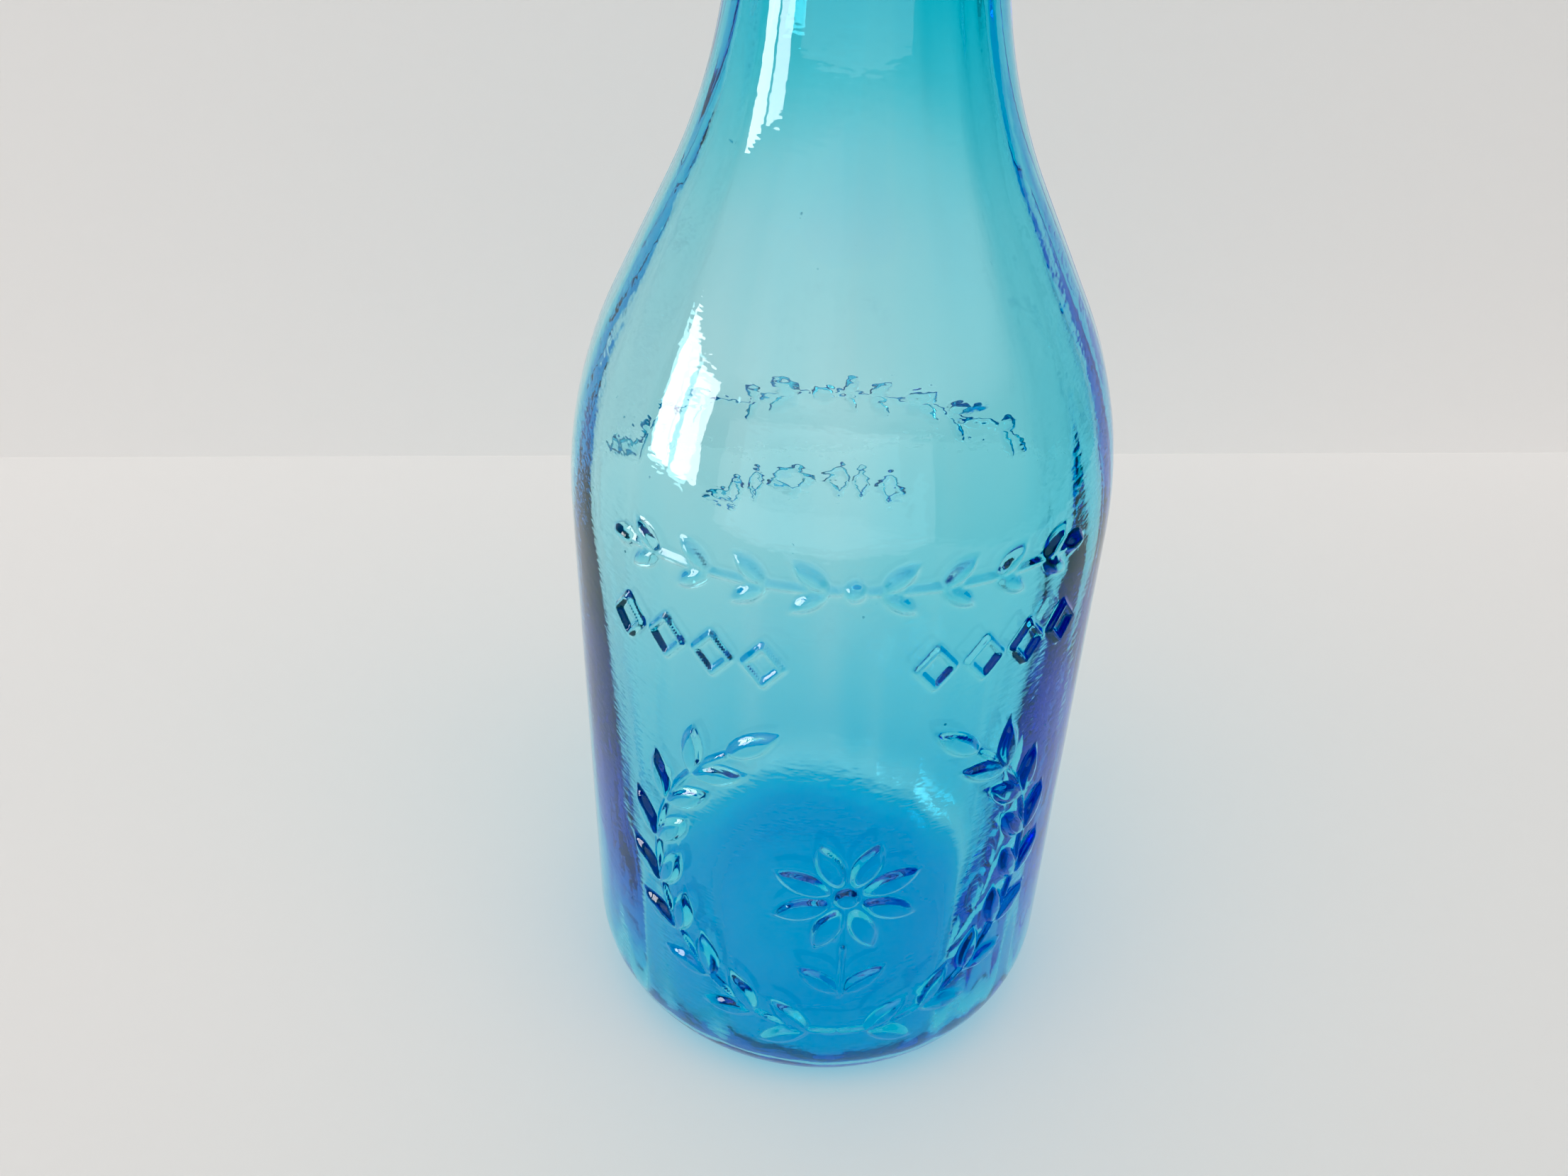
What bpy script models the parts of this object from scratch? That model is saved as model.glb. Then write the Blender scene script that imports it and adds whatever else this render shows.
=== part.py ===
"""Quart milk bottle of blown blue glass, with a glass lid held by a wire lever closure.

Units are metres, +Z is up, the bottle stands on Z = 0 with its axis on the Z axis.
The closure is modelled unlatched: the lever is raised in front (-Y), the bail lies
back (+Y), and the lid sits loose on the mouth, ready to be lifted off.
"""

from math import acos, asin, atan2, cos, hypot, pi, radians, sin, tan

import bmesh
import bpy
from mathutils import Vector

# Bottle body
BODY_RADIUS = 0.048
WALL = 0.0035
BASE_THICKNESS = 0.0075
HEEL_RADIUS = 0.018
FOOT_WIDTH = 0.005
PUSH_UP = 0.0035
SHOULDER_START = 0.116
SHOULDER_RADIUS = 0.0806
SHOULDER_SLOPE = radians(27.1)

# Ornament raised on the wall: two garlands, two rows of lozenges, a wreath and a daisy.
# Places across the wall are measured round it from the front (-Y) towards +X.
RELIEF = 0.0009
RELIEF_DEPTH = 0.0006
RELIEF_EDGE = 0.00018
FRONT_CENTRE = 0.0034
BACK_TURN = 0.0055
GARLAND_RISE = 0.0083
BACK_GARLAND_DROP = 0.004
GARLAND_PITCH = 0.0094
GARLAND_LEAF = 0.0068
GARLAND_LEAF_WIDTH = 0.0031
FRONT_PAIRS = 4
BACK_PAIRS = 5
LOZENGE_DROP = 0.0065
BACK_LOZENGE_DROP = 0.0255
LOZENGE_PITCH = 0.0086
LOZENGE_WIDTH = 0.0076
LOZENGE_HEIGHT = 0.0088
FRONT_LOZENGES = 4
FRONT_LOZENGE_GAP = 0.0136
BACK_LOZENGES = 6
WREATH_CENTRE = 0.0055
WREATH_HEIGHT = 0.06
WREATH_RADIUS = 0.0365
WREATH_OPENING = radians(37)
WREATH_PAIRS = 8
WREATH_LEAF = 0.0104
WREATH_LEAF_WIDTH = 0.0042
LEAF_LEAN = radians(35)
PETALS = 8
PETAL = 0.0105
PETAL_WIDTH = 0.005
DAISY_EYE = 0.0024
BERRY = 0.0017
STEM_WIDTH = 0.0011
STROKE = 0.0014

# Neck and finish
NECK_RADIUS = 0.01975
NECK_SWEEP = 0.0902
NECK_STRAIGHT = 0.0125
COLLAR_OVERHANG = 0.00325
COLLAR_HEIGHT = 0.0115
COLLAR_EDGE = 0.002
LIP_ROUND = 0.0024
LIP_INNER_ROUND = 0.0014

# Glass lid and its rubber ring
GASKET_THICKNESS = 0.0024
GASKET_EDGE = 0.0005
FLANGE_THICKNESS = 0.003
FLANGE_EDGE = 0.0013
DOME_RADIUS = 0.017
DOME_HEIGHT = 0.0095
PLUG_CLEARANCE = 0.0012
PLUG_DEPTH = 0.0032
PLUG_ROUND = 0.001
PLUG_HOLLOW = 0.0012

# Wires
TIE_WIRE_RADIUS = 0.0009
LEVER_WIRE_RADIUS = 0.0011
BAIL_WIRE_RADIUS = 0.0011
EAR_BEND = 0.0018
EAR_WRAP = radians(300)
LEVER_LENGTH = 0.042
LEVER_CORNER = 0.007
LEVER_THROW = 0.0065
OVER_CENTRE = radians(5)
LEVER_LIFT = radians(105)
BAIL_CORNER = 0.008
PIN_TAIL = 0.0012

# Fits
SEAT_GAP = 0.0003
PIN_CLEARANCE = 0.0003
SIDE_CLEARANCE = 0.001
SWING_CLEARANCE = 0.0005
LEVER_REST_GAP = 0.0008

# Facets
TURNED_STEPS = 44
SMALL_TURNED_STEPS = 36
RING_STEPS = 36
STEM_STEP = 0.006
BERRY_SIDES = 6
WIRE_SIDES = 10
SECTION_TURN = 0.25
WELD_DISTANCE = 0.000002
BEND_STEPS = 4
COIL_STEPS = 14
SHARP_ANGLE = radians(40)
RELIEF_SHARP_ANGLE = radians(24)

# Places worked out from the sizes above
SHOULDER_END_RADIUS = BODY_RADIUS - SHOULDER_RADIUS * (1 - cos(SHOULDER_SLOPE))
SHOULDER_END = SHOULDER_START + SHOULDER_RADIUS * sin(SHOULDER_SLOPE)
SWEEP_START_RADIUS = NECK_RADIUS + NECK_SWEEP * (1 - cos(SHOULDER_SLOPE))
SWEEP_START = SHOULDER_END + (SHOULDER_END_RADIUS - SWEEP_START_RADIUS) / tan(SHOULDER_SLOPE)
NECK_START = SWEEP_START + NECK_SWEEP * sin(SHOULDER_SLOPE)
GROOVE_START = NECK_START + NECK_STRAIGHT
COLLAR_START = GROOVE_START + 2 * (TIE_WIRE_RADIUS + SEAT_GAP)
COLLAR_RADIUS = NECK_RADIUS + COLLAR_OVERHANG
LIP_TOP = COLLAR_START + COLLAR_HEIGHT
BORE_RADIUS = NECK_RADIUS - WALL

GASKET_BOTTOM = LIP_TOP + SEAT_GAP
FLANGE_BOTTOM = GASKET_BOTTOM + GASKET_THICKNESS + SEAT_GAP
FLANGE_TOP = FLANGE_BOTTOM + FLANGE_THICKNESS
FLANGE_ROUND = min(FLANGE_EDGE, FLANGE_THICKNESS / 2)
FLANGE_RADIUS = COLLAR_RADIUS - LIP_ROUND / 2
PLUG_RADIUS = BORE_RADIUS - PLUG_CLEARANCE

TIE_WIRE_HEIGHT = GROOVE_START + TIE_WIRE_RADIUS + SEAT_GAP
TIE_RING_RADIUS = NECK_RADIUS + SEAT_GAP + TIE_WIRE_RADIUS
EAR_LOOP_RADIUS = LEVER_WIRE_RADIUS + PIN_CLEARANCE + TIE_WIRE_RADIUS
EAR_PLANE = COLLAR_RADIUS + SIDE_CLEARANCE + TIE_WIRE_RADIUS
PIVOT_HEIGHT = TIE_WIRE_HEIGHT + EAR_LOOP_RADIUS

COIL_RADIUS = BAIL_WIRE_RADIUS + PIN_CLEARANCE + LEVER_WIRE_RADIUS
COIL_PITCH = 2 * LEVER_WIRE_RADIUS + PIN_CLEARANCE
LEVER_INNER_PLANE = EAR_PLANE + TIE_WIRE_RADIUS + SIDE_CLEARANCE + LEVER_WIRE_RADIUS


def arc(centre_r, centre_z, radius, start, end, steps):
    """Points of a round stretch of a turned outline, angles from +R towards +Z."""
    return [
        (
            centre_r + radius * cos(start + (end - start) * step / steps),
            centre_z + radius * sin(start + (end - start) * step / steps),
        )
        for step in range(steps + 1)
    ]


def dome(edge_radius, edge_z, height, steps):
    """Points of a shallow round dome, from its edge up to the axis."""
    ball = (edge_radius**2 + height**2) / (2 * height)
    spread = asin(min(1.0, edge_radius / ball))
    if height > edge_radius:
        spread = pi - spread
    return arc(0, edge_z + height - ball, ball, pi / 2 - spread, pi / 2, steps)


def outer_radius(height):
    """Outside radius of the glass, from the body up to the neck."""
    if height <= SHOULDER_START:
        return BODY_RADIUS
    if height <= SHOULDER_END:
        rise = height - SHOULDER_START
        return BODY_RADIUS - SHOULDER_RADIUS + (SHOULDER_RADIUS**2 - rise**2) ** 0.5
    if height <= SWEEP_START:
        return SHOULDER_END_RADIUS - (height - SHOULDER_END) * tan(SHOULDER_SLOPE)
    if height <= NECK_START:
        drop = NECK_START - height
        return NECK_RADIUS + NECK_SWEEP - (NECK_SWEEP**2 - drop**2) ** 0.5
    return NECK_RADIUS


def lever_closed_angle():
    """Angle from straight down at which the lever's front bar meets the neck."""
    angle = asin(NECK_RADIUS / LEVER_LENGTH)
    for _ in range(30):
        bar_height = PIVOT_HEIGHT - LEVER_LENGTH * cos(angle)
        bar_reach = outer_radius(bar_height) + LEVER_REST_GAP + LEVER_WIRE_RADIUS
        angle = asin(bar_reach / LEVER_LENGTH)
    return angle


def bail_height():
    """Distance from the lever's eyes to the bail's top bar.

    The bar swings round the lever's pivots as the lever is raised, so it clears both
    the top of the dome and the rim of the flange.
    """
    dome_reach = FLANGE_TOP + DOME_HEIGHT - PIVOT_HEIGHT
    rim_reach = hypot(
        FLANGE_RADIUS - FLANGE_ROUND,
        FLANGE_TOP - FLANGE_ROUND - PIVOT_HEIGHT,
    ) + FLANGE_ROUND
    return max(dome_reach, rim_reach) + SWING_CLEARANCE + BAIL_WIRE_RADIUS + LEVER_THROW


def material(name, colour, roughness, metallic=0.0, transmission=0.0):
    """A plain Principled material for one piece."""
    result = bpy.data.materials.new(name)
    result.use_nodes = True
    shader = result.node_tree.nodes["Principled BSDF"]
    shader.inputs["Base Color"].default_value = (*colour, 1.0)
    shader.inputs["Roughness"].default_value = roughness
    shader.inputs["Metallic"].default_value = metallic
    shader.inputs["Transmission Weight"].default_value = transmission
    return result


def add_object(name, mesh, finish, location=(0, 0, 0), sharp_angle=SHARP_ANGLE):
    """One named piece of the object, smooth shaded, with its material."""
    mesh.materials.clear()
    mesh.materials.append(finish)
    mesh.shade_smooth()
    mesh.set_sharp_from_angle(angle=sharp_angle)
    result = bpy.data.objects.new(name, mesh)
    result.location = location
    bpy.context.scene.collection.objects.link(result)
    return result


def turned_mesh(name, outline, steps):
    """A solid of revolution round the Z axis. Outline points are (radius, height)."""
    shape = bmesh.new()
    corners = [shape.verts.new((radius, 0, height)) for radius, height in outline]
    edges = [shape.edges.new(pair) for pair in zip(corners, corners[1:])]
    bmesh.ops.spin(
        shape,
        geom=corners + edges,
        cent=(0, 0, 0),
        axis=(0, 0, 1),
        angle=2 * pi,
        steps=steps,
        use_merge=True,
    )
    result = bpy.data.meshes.new(name)
    shape.to_mesh(result)
    shape.free()
    return welded(result)


def welded(mesh):
    """The mesh with coinciding points made one and its faces pointing out."""
    shape = bmesh.new()
    shape.from_mesh(mesh)
    bmesh.ops.remove_doubles(shape, verts=shape.verts, dist=WELD_DISTANCE)
    bmesh.ops.recalc_face_normals(shape, faces=shape.faces)
    shape.to_mesh(mesh)
    shape.free()
    return mesh


def wire_mesh(name, points, radius):
    """A round wire with filled ends along a list of points."""
    curve = bpy.data.curves.new(name, "CURVE")
    curve.dimensions = "3D"
    curve.bevel_depth = radius
    curve.bevel_resolution = (WIRE_SIDES - 4) // 2
    curve.use_fill_caps = True
    spline = curve.splines.new("POLY")
    spline.points.add(len(points) - 1)
    for spot, point in zip(spline.points, points):
        spot.co = (*point, 1.0)
    holder = bpy.data.objects.new(name, curve)
    bpy.context.scene.collection.objects.link(holder)
    bpy.context.view_layer.update()
    evaluated = holder.evaluated_get(bpy.context.evaluated_depsgraph_get())
    result = bpy.data.meshes.new_from_object(evaluated)
    bpy.data.objects.remove(holder)
    return welded(result)


def bent(points, radius):
    """A path through the points with each inner corner bent to the given radius."""
    path = [Vector(points[0])]
    for before, corner, after in zip(points, points[1:], points[2:]):
        corner = Vector(corner)
        towards_before = (Vector(before) - corner).normalized()
        towards_after = (Vector(after) - corner).normalized()
        half = towards_before.angle(towards_after) / 2
        middle = corner + (towards_before + towards_after).normalized() * radius / sin(half)
        start = corner + towards_before * radius / tan(half) - middle
        end = corner + towards_after * radius / tan(half) - middle
        for step in range(BEND_STEPS + 1):
            path.append(middle + start.slerp(end, step / BEND_STEPS).normalized() * radius)
    path.append(Vector(points[-1]))
    return path


def joined(base, addition):
    """One closed mesh from two that overlap, by an exact union."""
    scene_objects = bpy.context.scene.collection.objects
    body = bpy.data.objects.new("union_body", base)
    tool = bpy.data.objects.new("union_tool", addition)
    scene_objects.link(body)
    scene_objects.link(tool)
    union = body.modifiers.new("union", "BOOLEAN")
    union.operation = "UNION"
    union.solver = "EXACT"
    union.object = tool
    bpy.context.view_layer.update()
    evaluated = body.evaluated_get(bpy.context.evaluated_depsgraph_get())
    result = bpy.data.meshes.new_from_object(evaluated)
    bpy.data.objects.remove(body)
    bpy.data.objects.remove(tool)
    return welded(result)


def bottle_outline():
    """The glass shell from the middle of the foot, up outside and down inside."""
    foot_outer = BODY_RADIUS - HEEL_RADIUS
    foot_inner = foot_outer - FOOT_WIDTH
    inner_heel = HEEL_RADIUS - WALL
    inner_body = BODY_RADIUS - WALL
    shoulder_centre = BODY_RADIUS - SHOULDER_RADIUS
    sweep_centre = NECK_RADIUS + NECK_SWEEP
    back = pi

    outline = list(reversed(dome(foot_inner, 0, PUSH_UP, 3)))
    outline += arc(foot_outer, HEEL_RADIUS, HEEL_RADIUS, -pi / 2, 0, 8)
    outline += arc(shoulder_centre, SHOULDER_START, SHOULDER_RADIUS, 0, SHOULDER_SLOPE, 6)
    outline += arc(sweep_centre, NECK_START, NECK_SWEEP, back + SHOULDER_SLOPE, back, 6)
    outline += [(NECK_RADIUS, COLLAR_START)]
    outline += arc(
        COLLAR_RADIUS - COLLAR_EDGE, COLLAR_START + COLLAR_EDGE, COLLAR_EDGE, -pi / 2, 0, 4
    )
    outline += arc(COLLAR_RADIUS - LIP_ROUND, LIP_TOP - LIP_ROUND, LIP_ROUND, 0, pi / 2, 4)
    outline += arc(
        BORE_RADIUS + LIP_INNER_ROUND, LIP_TOP - LIP_INNER_ROUND, LIP_INNER_ROUND,
        pi / 2, pi, 4,
    )
    outline += arc(sweep_centre, NECK_START, NECK_SWEEP + WALL, back, back + SHOULDER_SLOPE, 6)
    outline += arc(
        shoulder_centre, SHOULDER_START, SHOULDER_RADIUS - WALL, SHOULDER_SLOPE, 0, 6
    )
    outline += arc(
        inner_body - inner_heel, BASE_THICKNESS + inner_heel, inner_heel, 0, -pi / 2, 6
    )
    outline += dome(inner_body - inner_heel - FOOT_WIDTH, BASE_THICKNESS, PUSH_UP, 3)
    return outline


def on_wall(place, lift):
    """Point over a place on the unrolled wall, raised off the glass by the lift."""
    across, height = place
    turn = across / BODY_RADIUS
    radius = outer_radius(height) + lift
    return (radius * sin(turn), -radius * cos(turn), height)


def add_motif(shape, outline, crest):
    """A raised motif rooted in the glass, whose outline slopes up to its crest.

    Each point of the outline has its own point of the crest, which may repeat.
    """
    foot = [shape.verts.new(on_wall(place, -RELIEF_DEPTH)) for place in outline]
    edge = [shape.verts.new(on_wall(place, -RELIEF_EDGE)) for place in outline]
    tops = {tuple(place): shape.verts.new(on_wall(place, RELIEF)) for place in crest}
    count = len(outline)
    for this in range(count):
        following = (this + 1) % count
        near, far = tops[tuple(crest[this])], tops[tuple(crest[following])]
        shape.faces.new((foot[this], foot[following], edge[following], edge[this]))
        if near == far:
            shape.faces.new((edge[this], edge[following], near))
        else:
            shape.faces.new((edge[this], edge[following], far, near))
    shape.faces.new(list(reversed(foot)))


def add_leaf(shape, root, direction, length, width):
    """A pointed leaf with a ridge along its middle."""
    along = Vector((cos(direction), sin(direction))) * length
    aside = Vector((-sin(direction), cos(direction))) * width / 2
    root = Vector(root)
    near = root + along * 0.32
    far = root + along * 0.68
    tip = root + along
    outline = [root, near - aside, far - aside * 0.9, tip, far + aside * 0.9, near + aside]
    add_motif(shape, outline, [near, near, far, far, far, near])


def add_berry(shape, centre, radius):
    """A small pointed boss."""
    centre = Vector(centre)
    outline = [
        centre + Vector((cos(turn), sin(turn))) * radius
        for turn in (2 * pi * side / BERRY_SIDES for side in range(BERRY_SIDES))
    ]
    add_motif(shape, outline, [centre] * BERRY_SIDES)


def add_stem(shape, points):
    """A ridge of even width along points on the unrolled wall."""
    points = [Vector(point) for point in points]
    ways = [after - before for before, after in zip(points, points[1:])]
    ways = [ways[0]] + [before + after for before, after in zip(ways, ways[1:])] + [ways[-1]]
    asides = [Vector((-way.y, way.x)).normalized() * STEM_WIDTH / 2 for way in ways]
    left = [point + aside for point, aside in zip(points, asides)]
    right = [point - aside for point, aside in zip(points, asides)]
    add_motif(shape, right + left[::-1], points + points[::-1])


def add_lozenge(shape, centre):
    """A lozenge frame with a ridge all round it."""
    half_width, half_height = LOZENGE_WIDTH / 2, LOZENGE_HEIGHT / 2
    inner = 1 - STROKE * hypot(half_width, half_height) / (half_width * half_height)
    corners = [(half_width, 0), (0, half_height), (-half_width, 0), (0, -half_height)]
    section = [
        (1, -RELIEF_DEPTH),
        (1, -RELIEF_EDGE),
        ((1 + inner) / 2, RELIEF),
        (inner, -RELIEF_EDGE),
        (inner, -RELIEF_DEPTH),
    ]
    loops = [
        [
            shape.verts.new(on_wall((centre[0] + x * share, centre[1] + z * share), lift))
            for x, z in corners
        ]
        for share, lift in section
    ]
    for loop, next_loop in zip(loops, loops[1:] + loops[:1]):
        for corner in range(4):
            after = (corner + 1) % 4
            shape.faces.new((loop[corner], loop[after], next_loop[after], next_loop[corner]))


def add_garland(shape, centre, height, pairs):
    """A level stem with pairs of leaves that point away from a berry in its middle."""
    add_berry(shape, (centre, height), BERRY)
    clear = STEM_WIDTH * 0.6
    for side in (-1, 1):
        reach = pairs * GARLAND_PITCH
        steps = round(reach / STEM_STEP)
        start = BERRY + clear
        add_stem(
            shape,
            [
                (centre + side * (start + (reach - start) * step / steps), height)
                for step in range(steps + 1)
            ],
        )
        for place in range(pairs):
            root = centre + side * (place + 0.42) * GARLAND_PITCH
            for lift in (-1, 1):
                direction = atan2(lift * sin(LEAF_LEAN), side * cos(LEAF_LEAN))
                add_leaf(
                    shape, (root, height + lift * clear), direction,
                    GARLAND_LEAF, GARLAND_LEAF_WIDTH,
                )
        add_leaf(
            shape, (centre + side * (reach + clear), height), 0 if side > 0 else pi,
            GARLAND_LEAF * 0.8, GARLAND_LEAF_WIDTH,
        )


def add_wreath(shape):
    """Two leafy branches that rise from below and leave the wreath open above."""
    clear = STEM_WIDTH * 0.6
    gap = clear / WREATH_RADIUS
    length = pi - WREATH_OPENING - gap
    pitch = length / (WREATH_PAIRS + 0.3)
    steps = round(length * WREATH_RADIUS / STEM_STEP)
    for side in (-1, 1):
        def place(turn, offset=0.0):
            """Point at an angle from the wreath's foot, offset outwards from the stem."""
            reach = WREATH_RADIUS + offset
            return (
                WREATH_CENTRE + side * reach * sin(turn),
                WREATH_HEIGHT - reach * cos(turn),
            )
        add_stem(shape, [place(gap + length * step / steps) for step in range(steps + 1)])
        for pair in range(WREATH_PAIRS):
            turn = gap + (pair + 0.45) * pitch
            for lean in (-1, 1):
                direction = turn + lean * LEAF_LEAN
                if side < 0:
                    direction = pi - direction
                add_leaf(
                    shape, place(turn, -lean * clear), direction,
                    WREATH_LEAF, WREATH_LEAF_WIDTH,
                )
        tip_turn = gap + length + gap
        direction = tip_turn if side > 0 else pi - tip_turn
        add_leaf(shape, place(tip_turn), direction, WREATH_LEAF, WREATH_LEAF_WIDTH)


def add_daisy(shape):
    """A daisy in the wreath, on a short stalk with two leaves."""
    add_berry(shape, (WREATH_CENTRE, WREATH_HEIGHT), DAISY_EYE)
    start = DAISY_EYE + STEM_WIDTH * 0.8
    for petal in range(PETALS):
        turn = 2 * pi * (petal + 0.5) / PETALS
        root = (WREATH_CENTRE + start * cos(turn), WREATH_HEIGHT + start * sin(turn))
        add_leaf(shape, root, turn, PETAL, PETAL_WIDTH)
    stalk_top = WREATH_HEIGHT - start - PETAL * 0.9
    stalk_foot = WREATH_HEIGHT - WREATH_RADIUS + WREATH_LEAF
    add_stem(shape, [(WREATH_CENTRE, stalk_top), (WREATH_CENTRE, stalk_foot)])
    for side in (-1, 1):
        add_leaf(
            shape,
            (WREATH_CENTRE + side * STEM_WIDTH * 0.7, stalk_foot + STEM_WIDTH),
            pi / 2 - side * radians(52),
            WREATH_LEAF, WREATH_LEAF_WIDTH,
        )


def ornament_mesh():
    """All the raised ornament as closed pieces that reach into the wall."""
    shape = bmesh.new()
    add_garland(shape, FRONT_CENTRE, SHOULDER_START + GARLAND_RISE, FRONT_PAIRS)
    for side in (-1, 1):
        for place in range(FRONT_LOZENGES):
            across = FRONT_CENTRE + side * (FRONT_LOZENGE_GAP + place * LOZENGE_PITCH)
            add_lozenge(shape, (across, SHOULDER_START - LOZENGE_DROP))
    add_wreath(shape)
    add_daisy(shape)
    back_centre = pi * BODY_RADIUS + BACK_TURN
    add_garland(shape, back_centre, SHOULDER_START - BACK_GARLAND_DROP, BACK_PAIRS)
    for place in range(BACK_LOZENGES):
        across = back_centre + (place - (BACK_LOZENGES - 1) / 2) * LOZENGE_PITCH
        add_lozenge(shape, (across, SHOULDER_START - BACK_LOZENGE_DROP))
    result = bpy.data.meshes.new("ornament")
    shape.to_mesh(result)
    shape.free()
    return welded(result)


def make_bottle():
    """The glass with its ornament, which the mould casts in one with the wall."""
    glass = material("blue_glass", (0.05, 0.38, 0.52), 0.06, transmission=0.9)
    shell = turned_mesh("bottle", bottle_outline(), TURNED_STEPS)
    glass_mesh = joined(shell, ornament_mesh())
    return add_object("bottle", glass_mesh, glass, sharp_angle=RELIEF_SHARP_ANGLE)


def make_lid():
    """Pressed glass lid: a dome on a flat flange, with a short plug below it."""
    glass = material("lid_glass", (0.09, 0.45, 0.56), 0.06, transmission=0.9)
    outline = list(reversed(dome(PLUG_RADIUS - PLUG_ROUND, 0, PLUG_HOLLOW, 3)))
    plug_bottom = -(PLUG_DEPTH + GASKET_THICKNESS + 2 * SEAT_GAP)
    outline = [(radius, height + plug_bottom) for radius, height in outline]
    outline += arc(
        PLUG_RADIUS - PLUG_ROUND, plug_bottom + PLUG_ROUND, PLUG_ROUND, -pi / 2, 0, 3
    )
    outline += [(PLUG_RADIUS, 0)]
    rim = FLANGE_RADIUS - FLANGE_ROUND
    outline += arc(rim, FLANGE_ROUND, FLANGE_ROUND, -pi / 2, 0, 3)
    outline += arc(rim, FLANGE_THICKNESS - FLANGE_ROUND, FLANGE_ROUND, 0, pi / 2, 3)
    outline += dome(DOME_RADIUS, FLANGE_THICKNESS, DOME_HEIGHT, 8)
    mesh = turned_mesh("glass_lid", outline, SMALL_TURNED_STEPS)
    return add_object("glass_lid", mesh, glass, (0, 0, FLANGE_BOTTOM))


def make_gasket():
    """Flat rubber ring round the plug, between the lip and the flange."""
    rubber = material("red_rubber", (0.42, 0.09, 0.05), 0.75)
    inner = PLUG_RADIUS + SEAT_GAP
    outer = FLANGE_RADIUS - SEAT_GAP
    edge = GASKET_EDGE
    top = GASKET_THICKNESS
    outline = arc(outer - edge, edge, edge, -pi / 2, 0, 2)
    outline += arc(outer - edge, top - edge, edge, 0, pi / 2, 2)
    outline += arc(inner + edge, top - edge, edge, pi / 2, pi, 2)
    outline += arc(inner + edge, edge, edge, pi, 3 * pi / 2, 2)
    outline.append(outline[0])
    mesh = turned_mesh("rubber_ring", outline, SMALL_TURNED_STEPS)
    return add_object("rubber_ring", mesh, rubber, (0, 0, GASKET_BOTTOM))


def ear_path(side):
    """Wire that leaves the neck ring sideways and curls into an open eye."""
    stem_y = -EAR_BEND
    path = bent(
        [
            (TIE_RING_RADIUS, stem_y, 0),
            (EAR_PLANE, stem_y, 0),
            (EAR_PLANE, 0, 0),
        ],
        EAR_BEND * 0.9,
    )
    for step in range(1, COIL_STEPS + 1):
        turn = EAR_WRAP * step / COIL_STEPS
        path.append(
            Vector((EAR_PLANE, EAR_LOOP_RADIUS * sin(turn), EAR_LOOP_RADIUS * (1 - cos(turn))))
        )
    return [Vector((side * point.x, point.y, point.z)) for point in path]


def make_neck_wire():
    """Steel wire tied round the neck under the collar, with an eye on each side."""
    steel = material("tie_wire_steel", (0.55, 0.54, 0.52), 0.35, metallic=1.0)
    start = 2 * pi * SECTION_TURN / WIRE_SIDES
    section = arc(TIE_RING_RADIUS, 0, TIE_WIRE_RADIUS, start, start + 2 * pi, WIRE_SIDES)
    mesh = turned_mesh("neck_wire", section, RING_STEPS)
    for side in (1, -1):
        mesh = joined(mesh, wire_mesh("ear", ear_path(side), TIE_WIRE_RADIUS))
    return add_object("neck_wire", mesh, steel, (0, 0, TIE_WIRE_HEIGHT))


def eye_offset():
    """Where the lever's eye lies from its pivot while the lever is down."""
    return Vector((0, LEVER_THROW * sin(OVER_CENTRE), -LEVER_THROW * cos(OVER_CENTRE)))


def lever_path():
    """Half of the lever wire: pivot pin, coiled eye for the bail, arm and front bar."""
    closed = lever_closed_angle()
    eye = eye_offset()
    bar_y = -LEVER_LENGTH * sin(closed)
    bar_z = -LEVER_LENGTH * cos(closed)
    outer_plane = LEVER_INNER_PLANE + COIL_PITCH

    # The wire meets the coil and leaves it along tangents, both on the coil's back side.
    pivot_away = atan2(-eye.z, -eye.y)
    start = pivot_away - acos(COIL_RADIUS / LEVER_THROW)
    bar_away = atan2(bar_z - eye.z, bar_y - eye.y)
    bar_distance = hypot(bar_y - eye.y, bar_z - eye.z)
    end = bar_away + acos(COIL_RADIUS / bar_distance)
    wrap = (start - end) % (2 * pi) + 2 * pi

    pin_end = COLLAR_RADIUS + SEAT_GAP
    first_touch = Vector(
        (LEVER_INNER_PLANE, eye.y + COIL_RADIUS * cos(start), eye.z + COIL_RADIUS * sin(start))
    )
    path = bent(
        [(pin_end, 0, 0), (LEVER_INNER_PLANE, 0, 0), first_touch], LEVER_WIRE_RADIUS * 1.2
    )
    steps = round(COIL_STEPS * wrap / (2 * pi))
    for step in range(1, steps + 1):
        turn = start - wrap * step / steps
        path.append(
            Vector(
                (
                    LEVER_INNER_PLANE + (outer_plane - LEVER_INNER_PLANE) * step / steps,
                    eye.y + COIL_RADIUS * cos(turn),
                    eye.z + COIL_RADIUS * sin(turn),
                )
            )
        )
    bar_corner = (outer_plane, bar_y, bar_z)
    return path[:-1] + bent([path[-1], bar_corner, (0, bar_y, bar_z)], LEVER_CORNER)[:-1]


def make_lever():
    """Lever that turns on the neck wire's eyes and carries the bail in its own."""
    steel = material("lever_steel", (0.58, 0.57, 0.55), 0.3, metallic=1.0)
    half = lever_path()
    other = [Vector((-point.x, point.y, point.z)) for point in reversed(half)]
    mesh = wire_mesh("lever", half + other, LEVER_WIRE_RADIUS)
    lever = add_object("lever", mesh, steel, (0, 0, PIVOT_HEIGHT))
    lever.rotation_euler.x = -LEVER_LIFT
    return lever


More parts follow.
